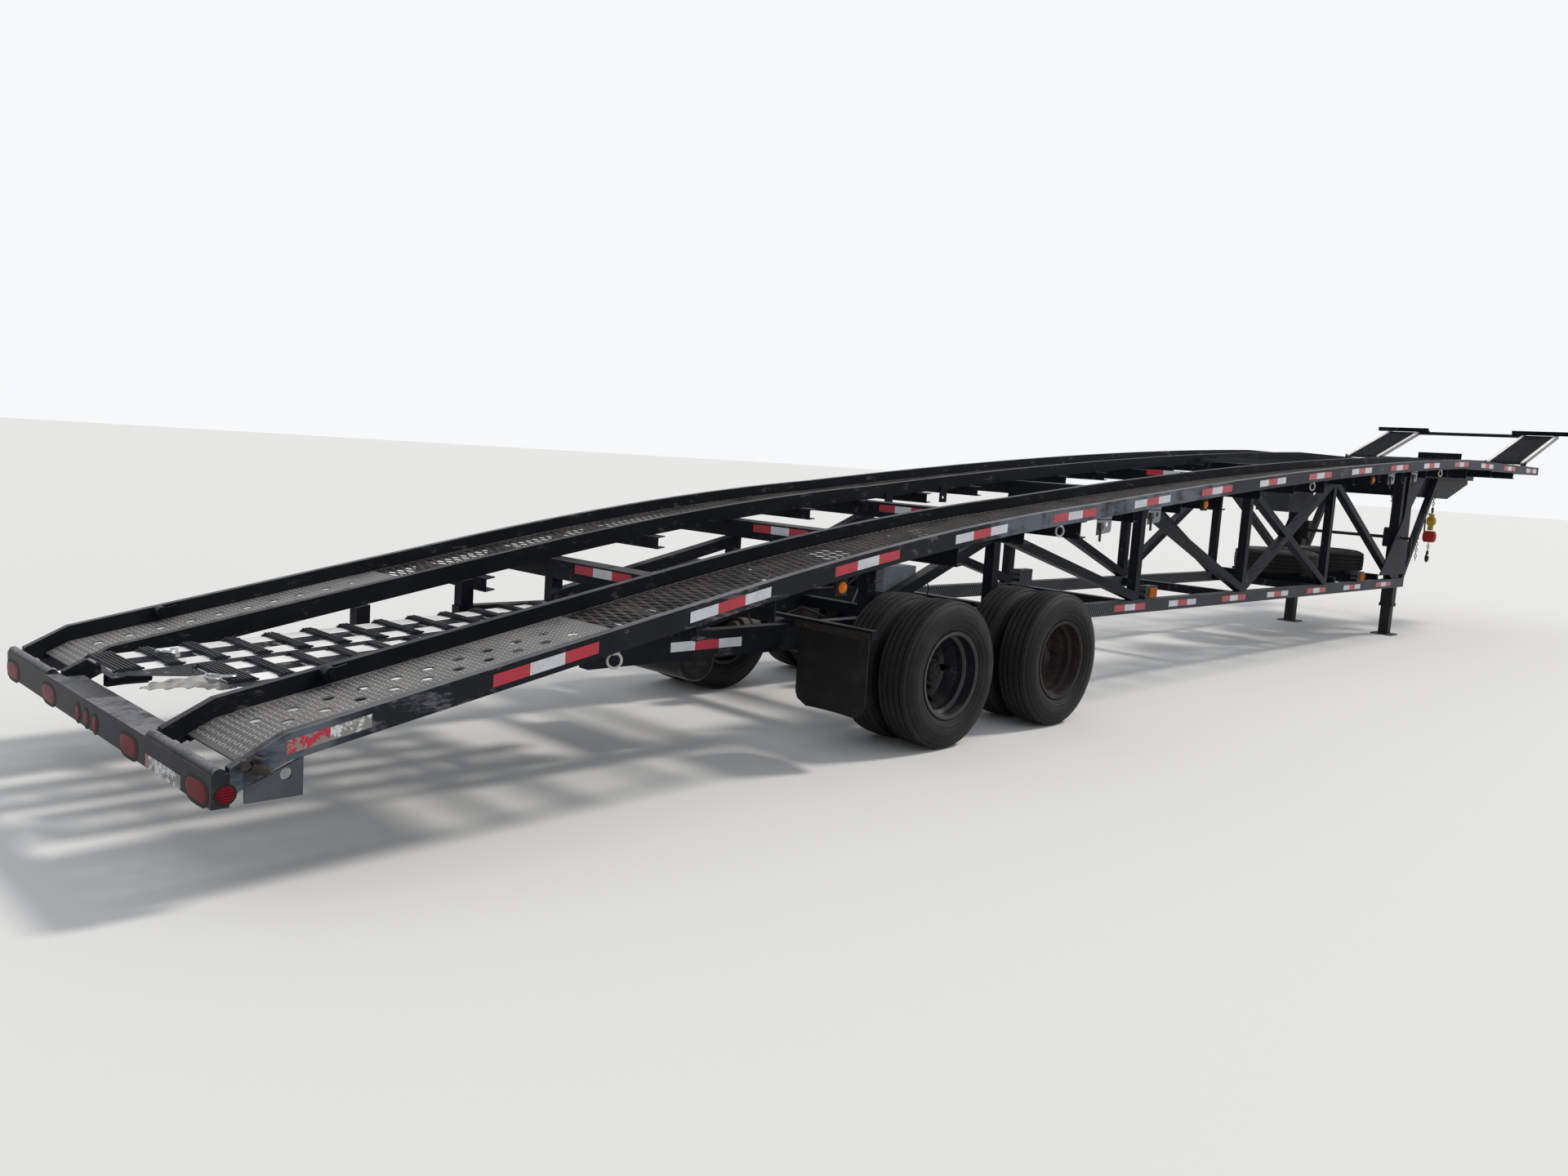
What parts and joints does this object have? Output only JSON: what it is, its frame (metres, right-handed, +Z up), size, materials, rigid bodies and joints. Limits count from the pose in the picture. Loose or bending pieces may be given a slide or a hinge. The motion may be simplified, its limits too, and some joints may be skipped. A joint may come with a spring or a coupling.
{
  "type": "car transporter semi-trailer",
  "caption": "Wedge-deck car transporter semi-trailer with two wheel runways on a truss frame, twin wheels, landing legs and tilting head ramps.",
  "frame": {"origin": "on the ground under the middle of the overall box, with tyres and landing feet on z = 0", "axes": "+X forwards towards the kingpin and head ramps, +Y to the left side, +Z up"},
  "size_m": [18.4612, 2.591, 2.7069],
  "materials": {
    "frame_black": "worn gloss black paint, dusty",
    "tread_plate": "worn tread plate",
    "expanded_mesh": "expanded metal, rust in the corners",
    "bumper_steel": "paint worn to bare steel",
    "lamp_red": "clear red lens",
    "lamp_amber": "clear amber lens",
    "axle_iron": "dull",
    "spring_steel": "dull, rust bloom",
    "flap_rubber": "matte",
    "leg_paint": "dull black paint",
    "pin_steel": "greasy machined steel",
    "tyre": "dusty rubber",
    "rim_black": "gloss black",
    "rim_rust": "rusty",
    "hub_iron": "greasy",
    "box_grey": "faded grey",
    "tank_black": "satin black",
    "hoist_red": "scuffed",
    "ramp_aluminium": "worn mill finish",
    "galvanised": "dull zinc"
  },
  "bodies": {
    "trailer": {"air_tank": "tank_black", "chain_hoist": "hoist_red", "cross_beams": "frame_black", "deck_bearers": "frame_black", "equipment_box": "box_grey", "frame_beams": "frame_black", "front_axle": "axle_iron", "front_bar": "frame_black", "inner_rails": "frame_black", "kingpin": "pin_steel", "landing_legs": "leg_paint", "leaf_springs": "spring_steel", "leg_cross_shaft": "leg_paint", "loading_ramps": "ramp_aluminium", "low_cross_beams": "frame_black", "lower_rails": "frame_black", "marker_lamps": "lamp_amber", "mesh_decks": "expanded_mesh", "mud_flaps": "flap_rubber", "neck_beams": "frame_black", "nose_braces": "frame_black", "outer_rails": "frame_black", "rear_axle": "axle_iron", "rear_bumper": "bumper_steel", "rear_deck_plates": "tread_plate", "rear_lamps": "lamp_red", "spare_rims": "rim_black", "spare_tyres": "tyre", "spring_hangers": "axle_iron", "tie_down_plates": "galvanised", "tool_box": "box_grey", "truss_braces": "frame_black", "truss_posts": "frame_black", "upper_coupler": "frame_black"},
    "head_ramp_set": {"head_ramp_bar": "ramp_aluminium", "head_ramps": "ramp_aluminium"},
    "rear_right_wheels": {"rear_right_hub": "hub_iron", "rear_right_rims": "rim_black", "rear_right_tyres": "tyre"},
    "rear_left_wheels": {"rear_left_hub": "hub_iron", "rear_left_rims": "rim_black", "rear_left_tyres": "tyre"},
    "front_right_wheels": {"front_right_hub": "hub_iron", "front_right_rims": "rim_rust", "front_right_tyres": "tyre"},
    "front_left_wheels": {"front_left_hub": "hub_iron", "front_left_rims": "rim_rust", "front_left_tyres": "tyre"}
  },
  "joints": [
    {"name": "rear_right_spin", "type": "hinge", "parent": "trailer", "child": "rear_right_wheels", "pos_m": [-5.0266, 0, 0.4425], "axis": [0, 1, 0], "continuous": true},
    {"name": "rear_left_spin", "type": "hinge", "parent": "trailer", "child": "rear_left_wheels", "pos_m": [-5.0266, 0, 0.4425], "axis": [0, 1, 0], "continuous": true},
    {"name": "front_right_spin", "type": "hinge", "parent": "trailer", "child": "front_right_wheels", "pos_m": [-3.8166, 0, 0.4425], "axis": [0, 1, 0], "continuous": true},
    {"name": "front_left_spin", "type": "hinge", "parent": "trailer", "child": "front_left_wheels", "pos_m": [-3.8166, 0, 0.4425], "axis": [0, 1, 0], "continuous": true},
    {"name": "head_ramp_tilt", "type": "hinge", "parent": "trailer", "child": "head_ramp_set", "pos_m": [7.5434, 0, 2.19], "axis": [0, -1, 0], "range_deg": [-15, 15]}
  ]
}
